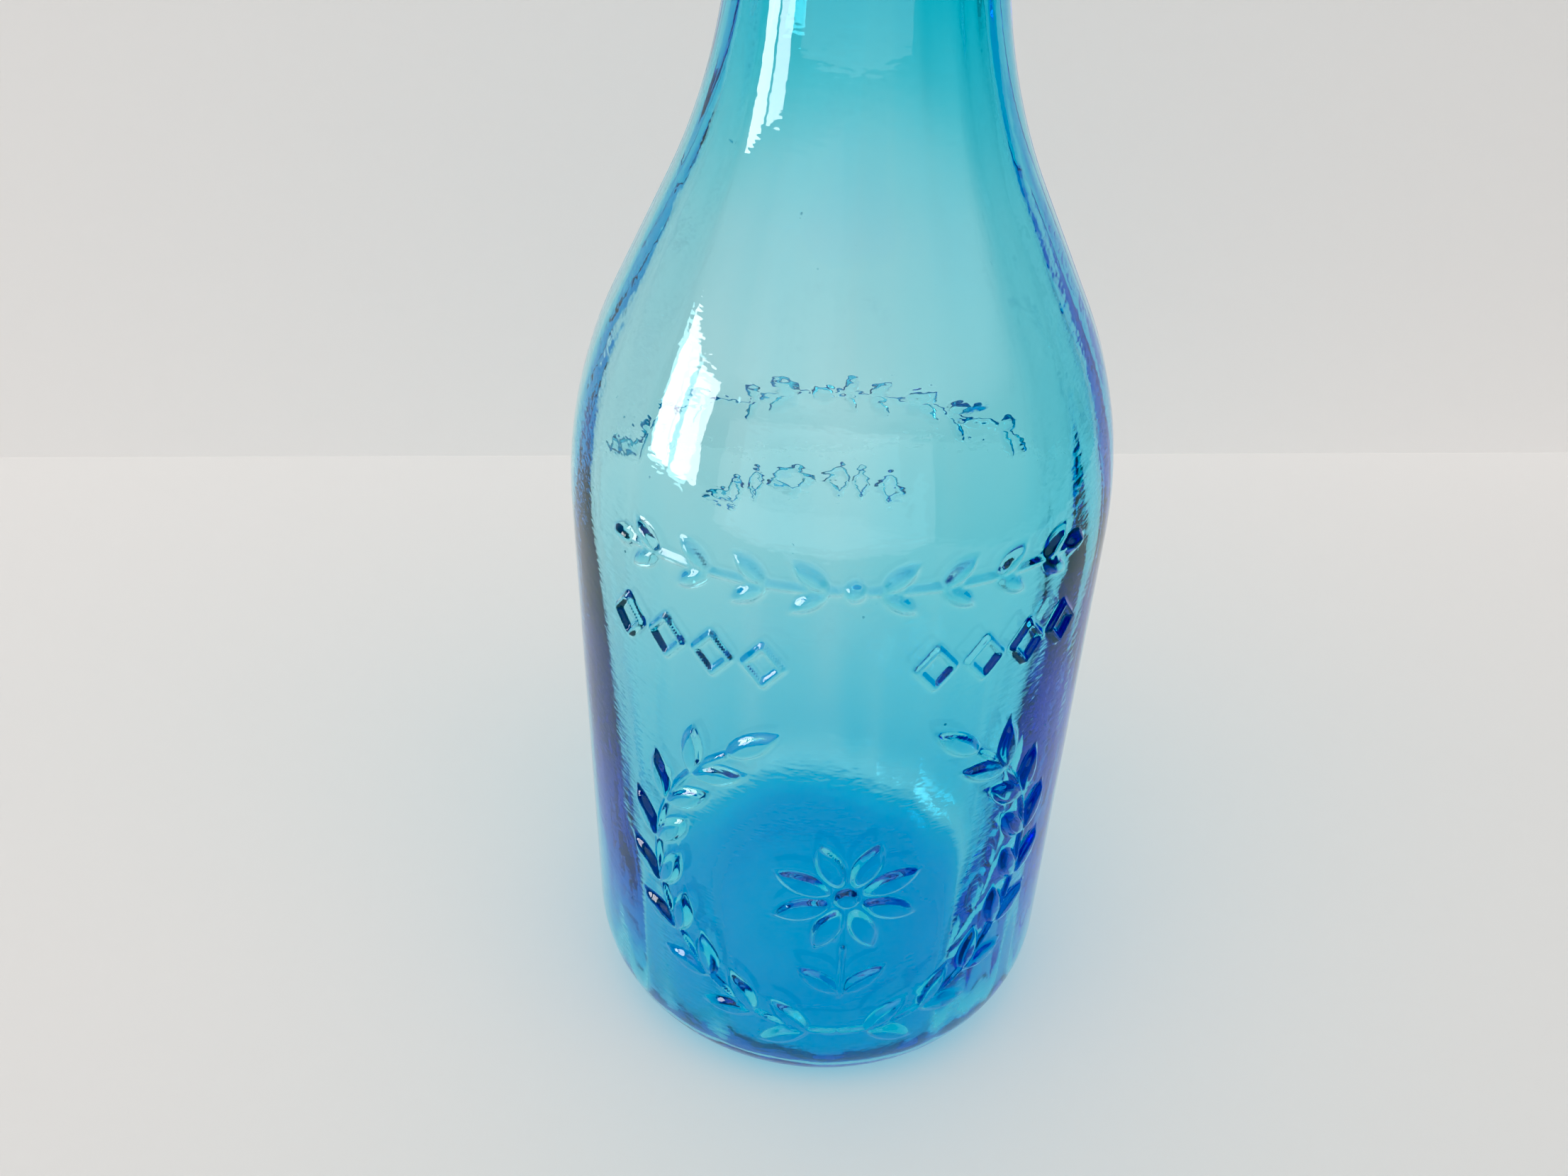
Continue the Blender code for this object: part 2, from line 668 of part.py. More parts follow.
def make_bail(lever):
    """Bail that crosses over the lid, its ends turned in through the lever's eyes."""
    steel = material("bail_steel", (0.58, 0.57, 0.55), 0.3, metallic=1.0)
    coil_outside = LEVER_INNER_PLANE + COIL_PITCH + LEVER_WIRE_RADIUS
    arm_plane = coil_outside + SIDE_CLEARANCE + BAIL_WIRE_RADIUS
    pin_end = LEVER_INNER_PLANE - LEVER_WIRE_RADIUS - PIN_TAIL
    top = bail_height()
    foot_bend = BAIL_WIRE_RADIUS * 1.2
    lower = bent([(pin_end, 0, 0), (arm_plane, 0, 0), (arm_plane, 0, top / 2)], foot_bend)
    upper = bent([(arm_plane, 0, top / 2), (arm_plane, 0, top), (0, 0, top)], BAIL_CORNER)
    half = lower[:-1] + upper[1:-1]
    other = [Vector((-point.x, point.y, point.z)) for point in reversed(half)]
    mesh = wire_mesh("bail", half + other, BAIL_WIRE_RADIUS)
    bail = add_object("bail", mesh, steel, eye_offset())
    bail.parent = lever
    return bail


for leftover in list(bpy.data.objects):
    bpy.data.objects.remove(leftover)

make_bottle()
make_neck_wire()
make_bail(make_lever())
make_lid()
make_gasket()
bpy.context.view_layer.update()
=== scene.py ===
from math import asin, atan2, cos, hypot, pi, radians, sin, tan

import bmesh
import bpy
from mathutils import Matrix, Vector, kdtree, noise


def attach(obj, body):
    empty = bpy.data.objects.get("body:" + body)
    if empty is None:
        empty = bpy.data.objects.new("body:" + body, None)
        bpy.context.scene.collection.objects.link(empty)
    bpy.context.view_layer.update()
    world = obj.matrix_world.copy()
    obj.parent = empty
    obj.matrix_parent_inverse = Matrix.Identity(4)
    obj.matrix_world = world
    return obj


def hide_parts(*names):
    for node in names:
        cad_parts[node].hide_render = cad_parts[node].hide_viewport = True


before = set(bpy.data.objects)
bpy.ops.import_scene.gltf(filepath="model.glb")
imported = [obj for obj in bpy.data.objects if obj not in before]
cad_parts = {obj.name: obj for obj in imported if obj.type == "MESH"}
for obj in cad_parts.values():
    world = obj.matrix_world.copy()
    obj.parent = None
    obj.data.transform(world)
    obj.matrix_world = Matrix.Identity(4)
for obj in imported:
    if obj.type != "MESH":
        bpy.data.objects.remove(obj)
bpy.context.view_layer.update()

# The camera stands close in front of the bottle and looks down on its shoulder, as in
# the photograph, so the top of the neck and the closure leave the picture above.
photo_width = 2212
focal_pixels = 1790
viewpoint = Vector((0.0, -0.20267, 0.22853))
yaw, pitch, roll = -0.0462, 0.5902, 0.0307
camera_data = bpy.data.cameras.new("photograph_view")
camera_data.sensor_width = 36.0
camera_data.lens = focal_pixels / photo_width * camera_data.sensor_width
camera_data.clip_start = 0.01
camera = bpy.data.objects.new("photograph_view", camera_data)
camera.matrix_world = (
    Matrix.Translation(viewpoint)
    @ Matrix.Rotation(-yaw, 4, "Z")
    @ Matrix.Rotation(pi / 2 - pitch, 4, "X")
    @ Matrix.Rotation(roll, 4, "Z")
)
bpy.context.scene.collection.objects.link(camera)
bpy.context.scene.camera = camera

# The bottle is one hollow shell of transparent blue glass, blown in a mould of two
# halves: a thick foot, straight wall, round shoulder, long sweep to the neck, and a collar.
body_radius = 0.048
heel_radius = 0.018
foot_width = 0.005
push_up = 0.0035
base_thickness = 0.0075
shoulder_start = 0.116
shoulder_radius = 0.0806
shoulder_slope = radians(27.1)
neck_radius = 0.01975
neck_sweep = 0.0902
neck_straight = 0.0125
groove_width = 0.0024
collar_overhang = 0.00325
collar_height = 0.0115
collar_edge = 0.002
lip_round = 0.0024
lip_inner_round = 0.0014
wall_at_lip = 0.0035
wall_at_neck = 0.0045
wall_at_shoulder = 0.002
wall_at_body = 0.0022
wall_at_heel = 0.0046
inner_heel = 0.005
thick_right = 0.001
thick_sides = 0.00045
glass_steps = 180
wall_rows = 48

shoulder_end_radius = body_radius - shoulder_radius * (1 - cos(shoulder_slope))
shoulder_end = shoulder_start + shoulder_radius * sin(shoulder_slope)
sweep_start_radius = neck_radius + neck_sweep * (1 - cos(shoulder_slope))
sweep_start = shoulder_end + (shoulder_end_radius - sweep_start_radius) / tan(shoulder_slope)
neck_start = sweep_start + neck_sweep * sin(shoulder_slope)
collar_start = neck_start + neck_straight + groove_width
collar_radius = neck_radius + collar_overhang
lip_top = collar_start + collar_height
bore_radius = neck_radius - wall_at_lip


def arc(centre_radius, centre_height, radius, start, end, steps, end_radius=None):
    """Points of a round stretch of a turned outline, angles from outwards to upwards."""
    points = []
    for step in range(steps + 1):
        share = step / steps
        turn = start + (end - start) * share
        reach = radius if end_radius is None else radius + (end_radius - radius) * share
        points.append((centre_radius + reach * cos(turn), centre_height + reach * sin(turn)))
    return points


def straight(start, end, rows):
    """Points along a straight stretch of a turned outline, without its two ends."""
    return [
        tuple(first + (last - first) * row / rows for first, last in zip(start, end))
        for row in range(1, rows)
    ]


def dome(edge_radius, edge_height, rise, steps):
    """Points of a shallow dome, from its edge up to the axis."""
    ball = (edge_radius**2 + rise**2) / (2 * rise)
    spread = asin(edge_radius / ball)
    return arc(0, edge_height + rise - ball, ball, pi / 2 - spread, pi / 2, steps)


def turned(outline, steps):
    """A bmesh turned round the upright axis from (radius, height) points."""
    shape = bmesh.new()
    corners = [shape.verts.new((radius, 0.0, height)) for radius, height in outline]
    edges = [shape.edges.new(pair) for pair in zip(corners, corners[1:])]
    bmesh.ops.spin(
        shape, geom=corners + edges, cent=(0, 0, 0), axis=(0, 0, 1), angle=2 * pi,
        steps=steps, use_merge=True,
    )
    bmesh.ops.remove_doubles(shape, verts=shape.verts, dist=1e-6)
    bmesh.ops.recalc_face_normals(shape, faces=shape.faces)
    return shape


def outside_radius(height):
    """Radius of the plain outside of the glass between the foot and the collar."""
    if height < heel_radius:
        return body_radius - heel_radius + (heel_radius**2 - (heel_radius - height) ** 2) ** 0.5
    if height < shoulder_start:
        return body_radius
    if height < shoulder_end:
        rise = height - shoulder_start
        return body_radius - shoulder_radius + (shoulder_radius**2 - rise**2) ** 0.5
    if height < sweep_start:
        return shoulder_end_radius - (height - shoulder_end) * tan(shoulder_slope)
    if height < neck_start:
        drop = neck_start - height
        return neck_radius + neck_sweep - (neck_sweep**2 - drop**2) ** 0.5
    return neck_radius


foot_outer = body_radius - heel_radius
shoulder_centre = body_radius - shoulder_radius
sweep_centre = neck_radius + neck_sweep
heel_inside = body_radius - wall_at_heel - inner_heel

outline = list(reversed(dome(foot_outer - foot_width, 0, push_up, 8)))
outline += arc(foot_outer, heel_radius, heel_radius, -pi / 2, 0, 12)
outline += straight(outline[-1], (body_radius, shoulder_start), wall_rows)
outline += arc(shoulder_centre, shoulder_start, shoulder_radius, 0, shoulder_slope, 16)
outline += straight(outline[-1], (sweep_start_radius, sweep_start), 8)
outline += arc(sweep_centre, neck_start, neck_sweep, pi + shoulder_slope, pi, 18)
outline += straight(outline[-1], (neck_radius, collar_start), 6)
outline += [(neck_radius, collar_start)]
outline += arc(collar_radius - collar_edge, collar_start + collar_edge, collar_edge, -pi / 2, 0, 6)
outline += arc(collar_radius - lip_round, lip_top - lip_round, lip_round, 0, pi / 2, 7)
outline += arc(
    bore_radius + lip_inner_round, lip_top - lip_inner_round, lip_inner_round, pi / 2, pi, 5,
)
neck_inside = (neck_radius - wall_at_neck, neck_start)
outline += straight(outline[-1], neck_inside, 9)
outline += arc(
    sweep_centre, neck_start, neck_sweep + wall_at_neck, pi, pi + shoulder_slope, 14,
    end_radius=neck_sweep + wall_at_shoulder,
)
outline += arc(
    shoulder_centre, shoulder_start, shoulder_radius - wall_at_shoulder, shoulder_slope, 0, 12,
    end_radius=shoulder_radius - wall_at_body,
)
heel_top = (heel_inside + inner_heel, base_thickness + inner_heel)
outline += straight(outline[-1], heel_top, 24)
outline += arc(heel_inside, base_thickness + inner_heel, inner_heel, 0, -pi / 2, 9)
outline += dome(heel_inside - foot_width, base_thickness, push_up, 7)
glass = turned(outline, glass_steps)

# The ornament stands proud of the wall, as glass that filled the cuts of a round tool in
# the mould: a garland of leaves over one row of lozenges, four each side of the middle, a
# wreath round a daisy, and behind a garland over one row of lozenges.
relief = 0.0011
relief_slope = 0.0007
seam_height = 0.00014
cut_spacing = 0.0002
front_centre = 0.0034
back_turn = 0.0055
garland_rise = 0.0083
back_garland_drop = 0.004
garland_pitch = 0.0094
garland_leaf = 0.0068
garland_leaf_width = 0.0031
front_pairs = 4
back_pairs = 5
lozenge_drop = 0.0065
back_lozenge_drop = 0.0255
lozenge_pitch = 0.0086
lozenge_width = 0.0076
lozenge_height = 0.0088
front_lozenges = 4
front_lozenge_gap = 0.0136
back_lozenges = 6
wreath_centre = 0.0055
wreath_height = 0.06
wreath_radius = 0.0365
wreath_opening = radians(37)
wreath_pairs = 8
wreath_leaf = 0.0104
wreath_leaf_width = 0.0042
leaf_lean = radians(35)
petals = 8
petal_length = 0.0105
petal_width = 0.005
daisy_eye = 0.0024
berry = 0.0017
stem_width = 0.0011
stroke = 0.0014
stem_clearance = 0.6 * stem_width
garland_root = 0.42
garland_tip = 0.8
wreath_root = 0.45
wreath_tip_share = 0.3
branch_steps = 60
petal_reach = 0.9
petal_gap = 0.8 * stem_width
stalk_lean = radians(52)
leaf_skew = 0.9
leaf_fullness = 0.8
leaf_tip_rise = 0.5
edge_crown = 0.35
seam_top = 0.7
cuts = []


def on_wall(across, height):
    """Place on the unrolled wall as a point of the plain upright body."""
    turn = across / body_radius
    return Vector((body_radius * sin(turn), -body_radius * cos(turn), height))


def cut_line(points, width, rise=relief):
    """Moves the mould cutter along points on the unrolled wall."""
    for (left, low), (right, high) in zip(points, points[1:]):
        steps = max(1, round(hypot(right - left, high - low) / cut_spacing))
        for step in range(steps + 1):
            share = step / steps
            place = on_wall(left + (right - left) * share, low + (high - low) * share)
            cuts.append((place, width / 2, rise))


def cut_boss(across, height, radius):
    """A round boss, left by a dip of the cutter."""
    cuts.append((on_wall(across, height), radius, relief))


def cut_leaf(across, height, direction, length, width):
    """A pointed leaf: the cutter goes deeper and wider in the middle."""
    steps = round(length / cut_spacing)
    for step in range(steps + 1):
        share = step / steps
        swell = sin(pi * share**leaf_skew) ** leaf_fullness
        place = on_wall(
            across + length * share * cos(direction), height + length * share * sin(direction)
        )
        rise = relief * (leaf_tip_rise + (1 - leaf_tip_rise) * swell)
        cuts.append((place, width / 2 * swell - relief_slope / 2, rise))


def cut_lozenge(across, height):
    """A lozenge frame."""
    half_width, half_height = (lozenge_width - stroke) / 2, (lozenge_height - stroke) / 2
    corners = [
        (across - half_width, height),
        (across, height + half_height),
        (across + half_width, height),
        (across, height - half_height),
        (across - half_width, height),
    ]
    cut_line(corners, stroke - relief_slope)


def cut_garland(centre, height, pairs):
    """A level stem with pairs of leaves that point away from a berry in its middle."""
    cut_boss(centre, height, berry - relief_slope / 2)
    for side in (-1, 1):
        reach = pairs * garland_pitch
        start = berry + stem_clearance
        cut_line(
            [(centre + side * start, height), (centre + side * reach, height)],
            stem_width - relief_slope,
        )
        for place in range(pairs):
            root = centre + side * (place + garland_root) * garland_pitch
            for lift in (-1, 1):
                direction = atan2(lift * sin(leaf_lean), side * cos(leaf_lean))
                cut_leaf(root, height, direction, garland_leaf, garland_leaf_width)
        tip = centre + side * reach
        direction = 0 if side > 0 else pi
        cut_leaf(tip, height, direction, garland_leaf * garland_tip, garland_leaf_width)


def cut_wreath():
    """Two leafy branches that rise from below and leave the wreath open above."""
    gap = stem_clearance / wreath_radius
    length = pi - wreath_opening - gap
    pitch = length / (wreath_pairs + wreath_tip_share)
    for side in (-1, 1):
        turns = [gap + length * step / branch_steps for step in range(branch_steps + 1)]
        branch = [
            (
                wreath_centre + side * wreath_radius * sin(turn),
                wreath_height - wreath_radius * cos(turn),
            )
            for turn in turns
        ]
        cut_line(branch, stem_width - relief_slope)
        for pair in range(wreath_pairs + 1):
            turn = gap + (pair + wreath_root) * pitch
            leans = (-1, 1)
            if pair == wreath_pairs:
                turn = gap + length + gap
                leans = (0,)
            root = (
                wreath_centre + side * wreath_radius * sin(turn),
                wreath_height - wreath_radius * cos(turn),
            )
            for lean in leans:
                direction = turn + lean * leaf_lean
                if side < 0:
                    direction = pi - direction
                cut_leaf(*root, direction, wreath_leaf, wreath_leaf_width)


def cut_daisy():
    """A daisy in the wreath, on a short stalk with two leaves."""
    cut_boss(wreath_centre, wreath_height, daisy_eye - relief_slope / 2)
    start = daisy_eye + petal_gap
    for petal in range(petals):
        turn = 2 * pi * (petal + 0.5) / petals
        root = (wreath_centre + start * cos(turn), wreath_height + start * sin(turn))
        cut_leaf(*root, turn, petal_length, petal_width)
    stalk_top = wreath_height - start - petal_length * petal_reach
    stalk_foot = wreath_height - wreath_radius + wreath_leaf
    cut_line(
        [(wreath_centre, stalk_top), (wreath_centre, stalk_foot)], stem_width - relief_slope
    )
    for side in (-1, 1):
        direction = pi / 2 - side * stalk_lean
        cut_leaf(
            wreath_centre, stalk_foot + stem_width, direction, wreath_leaf, wreath_leaf_width
        )


cut_garland(front_centre, shoulder_start + garland_rise, front_pairs)
for side in (-1, 1):
    for place in range(front_lozenges):
        across = front_centre + side * (front_lozenge_gap + place * lozenge_pitch)
        cut_lozenge(across, shoulder_start - lozenge_drop)
cut_wreath()
cut_daisy()
back_centre = pi * body_radius + back_turn
cut_garland(back_centre, shoulder_start - back_garland_drop, back_pairs)
for place in range(back_lozenges):
    across = back_centre + (place - (back_lozenges - 1) / 2) * lozenge_pitch
    cut_lozenge(across, shoulder_start - back_lozenge_drop)

for side in (-1, 1):
    seam = side * pi / 2 * body_radius
    top = neck_start + neck_straight * seam_top
    cut_line([(seam, heel_radius / 2), (seam, top)], relief_slope, seam_height)

tool_path = kdtree.KDTree(len(cuts))
for index, (place, half_width, rise) in enumerate(cuts):
    tool_path.insert(place, index)
tool_path.balance()
widest = max(half_width for place, half_width, rise in cuts) + relief_slope


def wall_place(point):
    """The point on the plain upright body at the same height and turn round the axis."""
    across = atan2(point.x, -point.y) * body_radius
    return on_wall(across, point.z)


def ornament_rise(place):
    """How far the glass stands proud of the plain wall."""
    rise = 0.0
    for _, index, distance in tool_path.find_range(place, widest):
        half_width, most = cuts[index][1:]
        reach = max(half_width, 0) + relief_slope
        if distance < reach:
            share = min(1.0, (reach - distance) / (2 * relief_slope))
            crown = (1 - (distance / reach) ** 2) ** 0.5
            edge = share * share * (3 - 2 * share)
            rise = max(rise, most * edge * (1 - edge_crown + edge_crown * crown))
    return rise


foot_clearance = 0.002


def is_outside(point):
    """True on the outer wall between the foot and the collar."""
    if not foot_clearance < point.z < collar_start - groove_width:
        return False
    return hypot(point.x, point.y) > outside_radius(point.z) - wall_at_shoulder / 4


face_reach = 0.0013
finer_cuts = 4
near_cut = []
for face in glass.faces:
    centre = face.calc_center_median()
    if is_outside(centre):
        _, index, distance = tool_path.find(wall_place(centre))
        if distance < cuts[index][1] + relief_slope + face_reach:
            near_cut.append(face)
bmesh.ops.subdivide_edges(
    glass,
    edges=list(dict.fromkeys(edge for face in near_cut for edge in face.edges)),
    cuts=finer_cuts,
    use_grid_fill=True,
)

# The blow leaves the inner wall uneven: slow ripples, streaks that are deeper low on the
# wall, and small smears. The wall is thickest at the right and thinner at the left.
axis_reach = 0.001
inner_gap = 0.0015
ripple_depth = 0.0005
streak_depth = 0.00032
low_streak_depth = 0.0009
low_streak_top = 0.072
low_streak_fade = 0.03
smear_depth = 0.0001


def blow_mark(outward, height, around, along, start=0.0):
    """Smooth noise on the wall, by how fast it changes round the axis and along it."""
    return noise.noise(Vector((outward.x * around, outward.y * around, height * along + start)))


for vertex in glass.verts:
    point = vertex.co
    radius = hypot(point.x, point.y)
    if radius < axis_reach:
        continue
    outward = Vector((point.x, point.y, 0)) / radius
    if is_outside(point):
        radius = outside_radius(point.z) + ornament_rise(wall_place(point))
        vertex.co = Vector((outward.x * radius, outward.y * radius, point.z))
    elif (
        base_thickness < point.z < collar_start
        and radius < outside_radius(point.z) - inner_gap
    ):
        turn = atan2(outward.x, -outward.y)
        uneven = (thick_right * sin(turn) - thick_sides * cos(2 * turn)) * radius / body_radius
        low = min(1.0, max(0.0, (low_streak_top - point.z) / low_streak_fade))
        settle = min(1.0, (point.z - base_thickness) / inner_heel)
        streak = streak_depth + low_streak_depth * low
        wave = ripple_depth * blow_mark(outward, point.z, around=2.1, along=9)
        wave += streak * blow_mark(outward, point.z, around=6.0, along=11, start=5)
        wave += smear_depth * blow_mark(outward, point.z, around=7, along=60, start=9)
        wave -= uneven
        vertex.co += outward * wave * settle
bottle_mesh = bpy.data.meshes.new("milk_bottle_glass")
glass.to_mesh(bottle_mesh)
glass.free()
bottle_mesh.shade_smooth()
bottle = bpy.data.objects.new("milk_bottle_glass", bottle_mesh)
bpy.context.scene.collection.objects.link(bottle)
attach(bottle, "bottle_body")
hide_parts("bottle")


def new_group(name, inputs, outputs):
    """A shader node group with named sockets, each given as (name, kind, default)."""
    group = bpy.data.node_groups.new(name, "ShaderNodeTree")
    for label, kind, default in inputs:
        socket = group.interface.new_socket(label, in_out="INPUT", socket_type=kind)
        socket.default_value = default
    for label, kind in outputs:
        group.interface.new_socket(label, in_out="OUTPUT", socket_type=kind)
    return group, group.nodes.new("NodeGroupInput"), group.nodes.new("NodeGroupOutput")


def add_node(tree, kind, links=None, **settings):
    """A shader node with its properties and values set, and its inputs linked."""
    node = tree.nodes.new(kind)
    for key, value in settings.items():
        if hasattr(node, key):
            setattr(node, key, value)
        else:
            node.inputs[key.replace("_", " ")].default_value = value
    for key, source in (links or {}).items():
        tree.links.new(source, node.inputs[key])
    return node


# Blown glass keeps slow waves in its surface, long streaks along the blow, and a few
# seeds: tiny gas bubbles that show as dark specks. The lid's pressed glass has them too.
# The tint deepens up the neck and at the foot, as the glass in the photograph does.
wall_tint = (1.0, 0.985, 0.975, 1.0)
neck_tint = (0.62, 0.93, 0.95, 1.0)
foot_tint = (0.03, 0.72, 0.95, 1.0)
seed_tint = (0.10, 0.30, 0.42, 1.0)
peel_share = 0.3
float_kind, colour_kind, vector_kind = "NodeSocketFloat", "NodeSocketColor", "NodeSocketVector"
blown, blown_in, blown_out = new_group(
    "blown_glass_surface",
    [("Wave Depth", float_kind, 0.00004), ("Seed Share", float_kind, 0.05)],
    [("Roughness", float_kind), ("Colour", colour_kind), ("Normal", vector_kind)],
)
place = add_node(blown, "ShaderNodeTexCoord")
waves = add_node(
    blown, "ShaderNodeTexNoise", {"Vector": place.outputs["Object"]}, Scale=55.0, Detail=2.0
)
stretch = add_node(
    blown, "ShaderNodeMapping", {"Vector": place.outputs["Object"]}, Scale=(1.0, 1.0, 0.14)
)
streaks = add_node(
    blown, "ShaderNodeTexNoise", {"Vector": stretch.outputs["Vector"]}, Scale=130.0, Detail=2.0
)
cells = add_node(
    blown, "ShaderNodeTexVoronoi", {"Vector": place.outputs["Object"]}, Scale=210.0
)
lot = add_node(blown, "ShaderNodeSeparateColor", {"Color": cells.outputs["Color"]})
chosen = add_node(
    blown, "ShaderNodeMath",
    {0: lot.outputs["Red"], 1: blown_in.outputs["Seed Share"]}, operation="LESS_THAN",
)
small = add_node(
    blown, "ShaderNodeMapRange", {"Value": cells.outputs["Distance"]},
    **{"From_Min": 0.03, "From_Max": 0.075, "To_Min": 1.0, "To_Max": 0.0},
)
seeds = add_node(
    blown, "ShaderNodeMath", {0: chosen.outputs[0], 1: small.outputs[0]}, operation="MULTIPLY"
)
squeeze = add_node(
    blown, "ShaderNodeMapping", {"Vector": place.outputs["Object"]}, Scale=(1.0, 1.0, 2.2)
)
peel = add_node(
    blown, "ShaderNodeTexNoise", {"Vector": squeeze.outputs["Vector"]}, Scale=420.0, Detail=1.0
)
long_waves = add_node(
    blown, "ShaderNodeMath", {0: waves.outputs["Fac"], 1: streaks.outputs["Fac"]}, operation="ADD"
)
surface_height = add_node(
    blown, "ShaderNodeMath",
    {0: peel.outputs["Fac"], 2: long_waves.outputs[0]}, operation="MULTIPLY_ADD",
)
surface_height.inputs[1].default_value = peel_share
bump = add_node(
    blown, "ShaderNodeBump",
    {"Height": surface_height.outputs[0], "Distance": blown_in.outputs["Wave Depth"]}, Strength=1.0,
)
rough = add_node(
    blown, "ShaderNodeMapRange", {"Value": streaks.outputs["Fac"]},
    **{"From_Min": 0.3, "From_Max": 0.7, "To_Min": 0.005, "To_Max": 0.03},
)
rougher = add_node(
    blown, "ShaderNodeMath", {0: seeds.outputs[0], 1: rough.outputs[0]}, operation="MAXIMUM"
)
tint = add_node(
    blown, "ShaderNodeMix", {"Factor": seeds.outputs[0]}, data_type="RGBA",
)
height = add_node(blown, "ShaderNodeSeparateXYZ", {"Vector": place.outputs["Object"]})
climb = add_node(
    blown, "ShaderNodeMapRange", {"Value": height.outputs["Z"]},
    interpolation_type="SMOOTHSTEP",
    **{"From_Min": 0.145, "From_Max": 0.205, "To_Min": 0.0, "To_Max": 1.0},
)
depth = add_node(blown, "ShaderNodeMix", {"Factor": climb.outputs[0]}, data_type="RGBA")
depth.inputs[6].default_value = wall_tint
depth.inputs[7].default_value = neck_tint
foot = add_node(
    blown, "ShaderNodeMapRange", {"Value": height.outputs["Z"]},
    interpolation_type="SMOOTHSTEP",
    **{"From_Min": 0.003, "From_Max": 0.0055, "To_Min": 1.0, "To_Max": 0.0},
)
deep = add_node(
    blown, "ShaderNodeMix", {"Factor": foot.outputs[0], 6: depth.outputs[2]}, data_type="RGBA"
)
deep.inputs[7].default_value = foot_tint
blown.links.new(deep.outputs[2], tint.inputs[6])
tint.inputs[7].default_value = seed_tint
blown.links.new(rougher.outputs[0], blown_out.inputs["Roughness"])
blown.links.new(tint.outputs[2], blown_out.inputs["Colour"])
blown.links.new(bump.outputs["Normal"], blown_out.inputs["Normal"])


def clear_glass(name, wave_depth, seed_share, absorbed, density):
    """Clear glass whose tint grows with its thickness, and that lets lamps through."""
    result = bpy.data.materials.new(name)
    result.use_nodes = True
    tree = result.node_tree
    shader = tree.nodes["Principled BSDF"]
    shader.inputs["Metallic"].default_value = 0.0
    shader.inputs["Transmission Weight"].default_value = 1.0
    shader.inputs["IOR"].default_value = 1.5
    surface = add_node(tree, "ShaderNodeGroup", node_tree=blown)
    surface.inputs["Wave Depth"].default_value = wave_depth
    surface.inputs["Seed Share"].default_value = seed_share
    tree.links.new(surface.outputs["Colour"], shader.inputs["Base Color"])
    tree.links.new(surface.outputs["Roughness"], shader.inputs["Roughness"])
    tree.links.new(surface.outputs["Normal"], shader.inputs["Normal"])
    rays = add_node(tree, "ShaderNodeLightPath")
    clear = add_node(tree, "ShaderNodeBsdfTransparent")
    lamps = add_node(
        tree, "ShaderNodeMixShader",
        {0: rays.outputs["Is Shadow Ray"], 1: shader.outputs[0], 2: clear.outputs[0]},
    )
    bounced = add_node(
        tree, "ShaderNodeMixShader",
        {0: rays.outputs["Is Diffuse Ray"], 1: lamps.outputs[0], 2: clear.outputs[0]},
    )
    inside = add_node(tree, "ShaderNodeVolumeAbsorption", Color=absorbed, Density=density)
    output = tree.nodes["Material Output"]
    tree.links.new(bounced.outputs[0], output.inputs["Surface"])
    tree.links.new(inside.outputs[0], output.inputs["Volume"])
    return result


glass_blue = (0.0, 0.858, 0.974, 1.0)
bottle_mesh.materials.append(
    clear_glass(
        "blue_bottle_glass", wave_depth=0.00007, seed_share=0.05,
        absorbed=glass_blue, density=220.0,
    )
)

# The lid is pressed glass of the same blue: a dome on a flat flange, with a short plug
# under it that keeps it centred in the mouth. It lies loose on the rubber ring.
seat_gap = 0.0003
lid_steps = 96
ring_thickness = 0.0024
flange_thickness = 0.003
flange_edge = 0.0013
dome_radius = 0.017
dome_height = 0.0095
plug_clearance = 0.0012
plug_radius = bore_radius - plug_clearance
plug_depth = 0.0032
plug_round = 0.001
plug_hollow = 0.0012
flange_radius = collar_radius - lip_round / 2
flange_bottom = lip_top + 2 * seat_gap + ring_thickness
flange_top = flange_bottom + flange_thickness
plug_bottom = lip_top - plug_depth
lid_outline = list(reversed(dome(plug_radius - plug_round, plug_bottom, plug_hollow, 6)))
lid_outline += arc(plug_radius - plug_round, plug_bottom + plug_round, plug_round, -pi / 2, 0, 6)
lid_outline += [(plug_radius, flange_bottom)]
rim = flange_radius - flange_edge
lid_outline += arc(rim, flange_bottom + flange_edge, flange_edge, -pi / 2, 0, 6)
lid_outline += arc(rim, flange_top - flange_edge, flange_edge, 0, pi / 2, 6)
lid_outline += dome(dome_radius, flange_top, dome_height, 20)
lid_shape = turned(lid_outline, lid_steps)
lid_mesh = bpy.data.meshes.new("domed_glass_lid")
lid_shape.to_mesh(lid_mesh)
lid_shape.free()
lid_mesh.shade_smooth()
lid_mesh.set_sharp_from_angle(angle=radians(50))
lid_mesh.materials.append(
    clear_glass(
        "blue_lid_glass", wave_depth=0.00003, seed_share=0.03,
        absorbed=glass_blue, density=160.0,
    )
)
lid = bpy.data.objects.new("domed_glass_lid", lid_mesh)
bpy.context.scene.collection.objects.link(lid)
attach(lid, "lid_body")
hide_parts("glass_lid")

